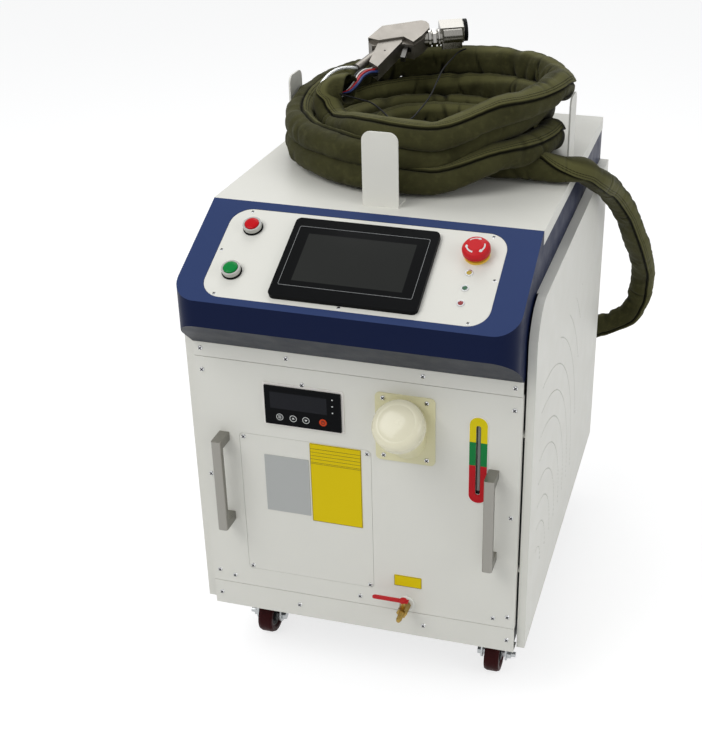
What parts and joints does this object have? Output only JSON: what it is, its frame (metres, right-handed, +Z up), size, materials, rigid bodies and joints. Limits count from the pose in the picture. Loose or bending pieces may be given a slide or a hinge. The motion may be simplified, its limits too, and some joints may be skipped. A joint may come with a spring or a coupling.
{
  "type": "hand-held laser welding machine",
  "caption": "Wheeled cabinet laser welder: sloped control console, filler cap, gauge and drain on the front, sleeved hose coiled on top with a welding gun.",
  "frame": {"origin": "on the floor under the middle of the machine's box, the hose and the gun's leads left out", "axes": "+X to the machine's right seen from its front, +Y to its back, +Z up"},
  "size_m": [0.6773, 1.0142, 1.0541],
  "materials": {
    "white_paint": "satin powder coat, fine orange peel",
    "blue_paint": "satin paint, darker on the lip",
    "frame_paint": "grey primer on welded tube",
    "steel": "zinc plated, slightly dull",
    "chrome": "bright plated",
    "aluminium": "satin anodised",
    "black_plastic": "fine texture",
    "screen": "dark gloss",
    "cream_plastic": "glossy, slightly translucent",
    "red_plastic": "glossy",
    "green_plastic": "glossy",
    "yellow_plastic": "glossy",
    "orange_plastic": "matt top with a ring",
    "brass": "machined",
    "tread": "polyurethane, slightly glossy",
    "canvas": "waxed canvas with stitched seams",
    "leads": "sheathed wires"
  },
  "bodies": {
    "cabinet": {"base_frame": "frame_paint", "frame_posts": "frame_paint", "top_rails": "frame_paint", "side_rails": "frame_paint", "caster_channels": "frame_paint", "equipment_tray": "frame_paint", "front_panel": "white_paint", "access_panel": "white_paint", "upper_strip": "white_paint", "kick_plate": "white_paint", "side_panel_left": "white_paint", "side_panel_right": "white_paint", "rear_panel": "white_paint", "top_cover": "white_paint", "console_shell": "blue_paint", "console_plate": "white_paint", "screen_bezel": "black_plastic", "screen_glass": "screen", "hose_brackets": "white_paint", "pull_handles": "aluminium", "controller_case": "black_plastic", "controller_window": "screen", "gauge_plate": "green_plastic", "gauge_tube": "steel", "filler_neck": "cream_plastic", "drain_valve": "brass", "indicator_lamps": "yellow_plastic", "control_rings": "chrome", "stop_base": "yellow_plastic", "caster_plates": "steel", "rear_forks": "steel", "rear_glands": "black_plastic", "hose_drop": "canvas", "hose_coil": "canvas", "gun_body": "aluminium", "gun_head": "chrome", "gun_leads": "leads", "panel_screws": "chrome", "laser_source": "aluminium", "cooling_unit": "steel"},
    "swivel_left": {"front_fork_left": "steel"},
    "swivel_right": {"front_fork_right": "steel"},
    "roller_front_left": {"front_wheel_left": "tread"},
    "roller_front_right": {"front_wheel_right": "tread"},
    "roller_rear_left": {"rear_wheel_left": "tread"},
    "roller_rear_right": {"rear_wheel_right": "tread"},
    "pedal_left": {"brake_pedal_left": "red_plastic"},
    "pedal_right": {"brake_pedal_right": "red_plastic"},
    "start_button": {"green_button": "green_plastic"},
    "stop_button": {"red_button": "red_plastic"},
    "emergency_stop": {"stop_cap": "red_plastic"},
    "set_key": {"key_set": "black_plastic"},
    "up_key": {"key_up": "black_plastic"},
    "down_key": {"key_down": "black_plastic"},
    "power_key": {"key_power": "orange_plastic"},
    "cap": {"filler_cap": "cream_plastic"},
    "lever": {"drain_lever": "red_plastic"},
    "trigger": {"gun_trigger": "black_plastic"},
    "fan": {"fan_rotor": "black_plastic"},
    "switch": {"main_switch": "red_plastic"}
  },
  "joints": [
    {"name": "front_swivel_left", "type": "hinge", "parent": "cabinet", "child": "swivel_left", "pos_m": [-0.218, -0.22174, 0.095], "axis": [0, 0, 1], "continuous": true},
    {"name": "front_wheel_spin_left", "type": "hinge", "parent": "swivel_left", "child": "roller_front_left", "pos_m": [-0.218, -0.24674, 0.0352], "axis": [1, 0, 0], "continuous": true},
    {"name": "rear_wheel_spin_left", "type": "hinge", "parent": "cabinet", "child": "roller_rear_left", "pos_m": [-0.218, 0.28226, 0.0352], "axis": [1, 0, 0], "continuous": true},
    {"name": "brake_pedal_left", "type": "hinge", "parent": "swivel_left", "child": "pedal_left", "pos_m": [-0.218, -0.20774, 0.0757], "axis": [1, 0, 0], "range_deg": [-12, 0]},
    {"name": "front_swivel_right", "type": "hinge", "parent": "cabinet", "child": "swivel_right", "pos_m": [0.218, -0.22174, 0.095], "axis": [0, 0, 1], "continuous": true},
    {"name": "front_wheel_spin_right", "type": "hinge", "parent": "swivel_right", "child": "roller_front_right", "pos_m": [0.218, -0.24674, 0.0352], "axis": [1, 0, 0], "continuous": true},
    {"name": "rear_wheel_spin_right", "type": "hinge", "parent": "cabinet", "child": "roller_rear_right", "pos_m": [0.218, 0.28226, 0.0352], "axis": [1, 0, 0], "continuous": true},
    {"name": "brake_pedal_right", "type": "hinge", "parent": "swivel_right", "child": "pedal_right", "pos_m": [0.218, -0.20774, 0.0757], "axis": [1, 0, 0], "range_deg": [-12, 0]},
    {"name": "red_push", "type": "slide", "parent": "cabinet", "child": "stop_button", "axis": [0, 0.4529, -0.8916], "range_m": [0, 0.003], "stiffness_N_per_m": 300},
    {"name": "green_push", "type": "slide", "parent": "cabinet", "child": "start_button", "axis": [0, 0.4529, -0.8916], "range_m": [0, 0.003], "stiffness_N_per_m": 300},
    {"name": "emergency_push", "type": "slide", "parent": "cabinet", "child": "emergency_stop", "axis": [0, 0.4529, -0.8916], "range_m": [0, 0.004], "stiffness_N_per_m": 900},
    {"name": "set_key_push", "type": "slide", "parent": "cabinet", "child": "set_key", "axis": [0, 1, 0], "range_m": [0, 0.0006], "stiffness_N_per_m": 300},
    {"name": "up_key_push", "type": "slide", "parent": "cabinet", "child": "up_key", "axis": [0, 1, 0], "range_m": [0, 0.0006], "stiffness_N_per_m": 300},
    {"name": "down_key_push", "type": "slide", "parent": "cabinet", "child": "down_key", "axis": [0, 1, 0], "range_m": [0, 0.0006], "stiffness_N_per_m": 300},
    {"name": "power_key_push", "type": "slide", "parent": "cabinet", "child": "power_key", "axis": [0, 1, 0], "range_m": [0, 0.0006], "stiffness_N_per_m": 300},
    {"name": "cap_turn", "type": "hinge", "parent": "cabinet", "child": "cap", "pos_m": [0.0852, -0.40994, 0.5907], "axis": [0, -0.7071, 0.7071], "range_deg": [0, 90]},
    {"name": "drain_turn", "type": "hinge", "parent": "cabinet", "child": "lever", "pos_m": [0.083, -0.37774, 0.222], "axis": [0, 0, 1], "range_deg": [0, 90]},
    {"name": "trigger_pull", "type": "hinge", "parent": "cabinet", "child": "trigger", "pos_m": [-0.08627, 0.24508, 1.01055], "axis": [0.0817, -0.319, 0.9442], "range_deg": [-10, 0], "stiffness_Nm_per_rad": 0.4},
    {"name": "fan_spin", "type": "hinge", "parent": "cabinet", "child": "fan", "pos_m": [-0.145, 0.34226, 0.39], "axis": [0, 1, 0], "continuous": true},
    {"name": "switch_turn", "type": "hinge", "parent": "cabinet", "child": "switch", "pos_m": [-0.17, 0.40726, 0.64], "axis": [0, 1, 0], "range_deg": [0, 90]}
  ]
}
